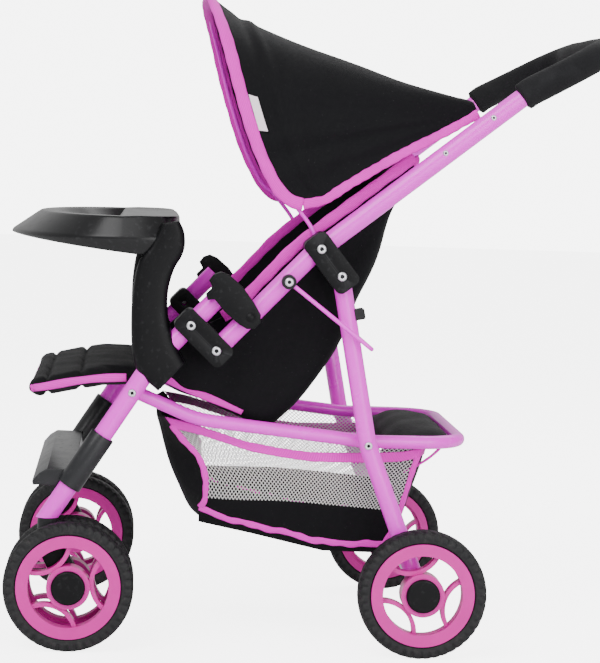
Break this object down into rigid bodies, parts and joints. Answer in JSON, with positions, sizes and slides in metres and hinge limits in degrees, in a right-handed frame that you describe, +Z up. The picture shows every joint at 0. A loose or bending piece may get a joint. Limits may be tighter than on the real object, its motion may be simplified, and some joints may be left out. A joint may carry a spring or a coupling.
{
  "type": "doll stroller",
  "caption": "Folding toy stroller for dolls with a tubular frame, hooded fabric seat, snack tray, mesh basket and swivelling twin front wheels.",
  "frame": {"origin": "middle of the footprint of the bounding box, on the floor", "axes": "+Z up, the front of the stroller faces -Y, +X is the left of a doll sitting in it"},
  "size_m": [0.364, 0.5489, 0.5835],
  "materials": {
    "pink_tube": "glossy powder coat",
    "pink_plastic": "moulded gloss",
    "black_plastic": "fine grained",
    "tray_plastic": "satin",
    "black_fabric": "plain woven",
    "basket_fabric": "mesh",
    "foam": "closed-cell foam",
    "tyre": "ribbed tread",
    "steel": "bright"
  },
  "bodies": {
    "front_frame": {"front_leg_left": "pink_tube", "front_leg_right": "pink_tube", "lower_bracket_left": "black_plastic", "lower_bracket_right": "black_plastic", "caster_socket_left": "black_plastic", "caster_socket_right": "black_plastic", "footrest": "black_plastic", "tray": "tray_plastic", "tray_arm_left": "tray_plastic", "tray_arm_right": "tray_plastic", "leg_rest": "black_fabric", "seat_pan": "black_fabric", "front_frame_rivets": "steel"},
    "handle_frame": {"handle_tube": "pink_tube", "grip": "foam", "upper_bracket_left": "black_plastic", "upper_bracket_right": "black_plastic", "seat_back": "black_fabric", "handle_frame_rivets": "steel", "latch_pins": "steel"},
    "rear_frame": {"rear_leg_left": "pink_tube", "rear_leg_right": "pink_tube", "rear_axle": "steel", "rear_leg_clips": "black_plastic", "rear_frame_rivets": "steel"},
    "basket_frame": {"basket_tube": "pink_tube", "basket_bag": "basket_fabric"},
    "canopy": {"canopy_bow": "pink_tube", "canopy_cover": "black_fabric"},
    "lock_bail": {"lock_wire": "pink_tube", "lock_wire_caps": "black_plastic"},
    "latch_left": {"latch_left": "black_plastic"},
    "latch_right": {"latch_right": "black_plastic"},
    "caster_left": {"caster_fork_left": "black_plastic", "front_axle_left": "steel"},
    "caster_right": {"caster_fork_right": "black_plastic", "front_axle_right": "steel"},
    "wheel_front_outer_left": {"rim_front_outer_left": "pink_plastic", "tyre_front_outer_left": "tyre", "hub_cap_front_outer_left": "black_plastic"},
    "wheel_front_inner_left": {"rim_front_inner_left": "pink_plastic", "tyre_front_inner_left": "tyre", "hub_cap_front_inner_left": "black_plastic"},
    "wheel_rear_left": {"rim_rear_left": "pink_plastic", "tyre_rear_left": "tyre", "hub_cap_rear_left": "black_plastic"},
    "wheel_front_outer_right": {"rim_front_outer_right": "pink_plastic", "tyre_front_outer_right": "tyre", "hub_cap_front_outer_right": "black_plastic"},
    "wheel_front_inner_right": {"rim_front_inner_right": "pink_plastic", "tyre_front_inner_right": "tyre", "hub_cap_front_inner_right": "black_plastic"},
    "wheel_rear_right": {"rim_rear_right": "pink_plastic", "tyre_rear_right": "tyre", "hub_cap_rear_right": "black_plastic"}
  },
  "joints": [
    {"name": "fold", "type": "hinge", "parent": "front_frame", "child": "handle_frame", "pos_m": [0, -0.0846, 0.2684], "axis": [-1, 0, 0], "range_deg": [0, 100], "deforming": ["seat_back", "seat_pan", "basket_bag", "leg_rest"]},
    {"name": "rear_leg_hinge", "type": "hinge", "parent": "handle_frame", "child": "rear_frame", "pos_m": [0, 0.0241, 0.3371], "axis": [1, 0, 0], "range_deg": [0, 58]},
    {"name": "basket_hinge", "type": "hinge", "parent": "front_frame", "child": "basket_frame", "pos_m": [0, -0.1576, 0.2288], "axis": [-1, 0, 0], "range_deg": [0, 68]},
    {"name": "lock_bail_hinge", "type": "hinge", "parent": "handle_frame", "child": "lock_bail", "pos_m": [0, -0.0229, 0.3313], "axis": [1, 0, 0], "range_deg": [0, 41]},
    {"name": "canopy_hinge", "type": "hinge", "parent": "handle_frame", "child": "canopy", "pos_m": [0, 0.0052, 0.3608], "axis": [-1, 0, 0], "range_deg": [0, 62], "deforming": ["canopy_cover"]},
    {"name": "latch_left_hinge", "type": "hinge", "parent": "handle_frame", "child": "latch_left", "pos_m": [0.162, -0.05569, 0.29887], "axis": [-1, 0, 0], "range_deg": [0, 32]},
    {"name": "caster_left_swivel", "type": "hinge", "parent": "front_frame", "child": "caster_left", "pos_m": [0.147, -0.229, 0.1], "axis": [0, 0, 1], "continuous": true},
    {"name": "wheel_front_outer_left_spin", "type": "hinge", "parent": "caster_left", "child": "wheel_front_outer_left", "pos_m": [0.1655, -0.209, 0.0575], "axis": [1, 0, 0], "continuous": true},
    {"name": "wheel_front_inner_left_spin", "type": "hinge", "parent": "caster_left", "child": "wheel_front_inner_left", "pos_m": [0.1285, -0.209, 0.0575], "axis": [1, 0, 0], "continuous": true},
    {"name": "wheel_rear_left_spin", "type": "hinge", "parent": "rear_frame", "child": "wheel_rear_left", "pos_m": [0.168, 0.104, 0.0575], "axis": [1, 0, 0], "continuous": true},
    {"name": "latch_right_hinge", "type": "hinge", "parent": "handle_frame", "child": "latch_right", "pos_m": [-0.162, -0.05569, 0.29887], "axis": [-1, 0, 0], "range_deg": [0, 32]},
    {"name": "caster_right_swivel", "type": "hinge", "parent": "front_frame", "child": "caster_right", "pos_m": [-0.147, -0.229, 0.1], "axis": [0, 0, 1], "continuous": true},
    {"name": "wheel_front_outer_right_spin", "type": "hinge", "parent": "caster_right", "child": "wheel_front_outer_right", "pos_m": [-0.1655, -0.209, 0.0575], "axis": [1, 0, 0], "continuous": true},
    {"name": "wheel_front_inner_right_spin", "type": "hinge", "parent": "caster_right", "child": "wheel_front_inner_right", "pos_m": [-0.1285, -0.209, 0.0575], "axis": [1, 0, 0], "continuous": true},
    {"name": "wheel_rear_right_spin", "type": "hinge", "parent": "rear_frame", "child": "wheel_rear_right", "pos_m": [-0.168, 0.104, 0.0575], "axis": [1, 0, 0], "continuous": true}
  ],
  "couplings": [
    {"joint": "rear_leg_hinge", "follows": "fold", "ratio": 0.576},
    {"joint": "basket_hinge", "follows": "fold", "ratio": 0.674},
    {"joint": "lock_bail_hinge", "follows": "fold", "ratio": 0.4032}
  ]
}
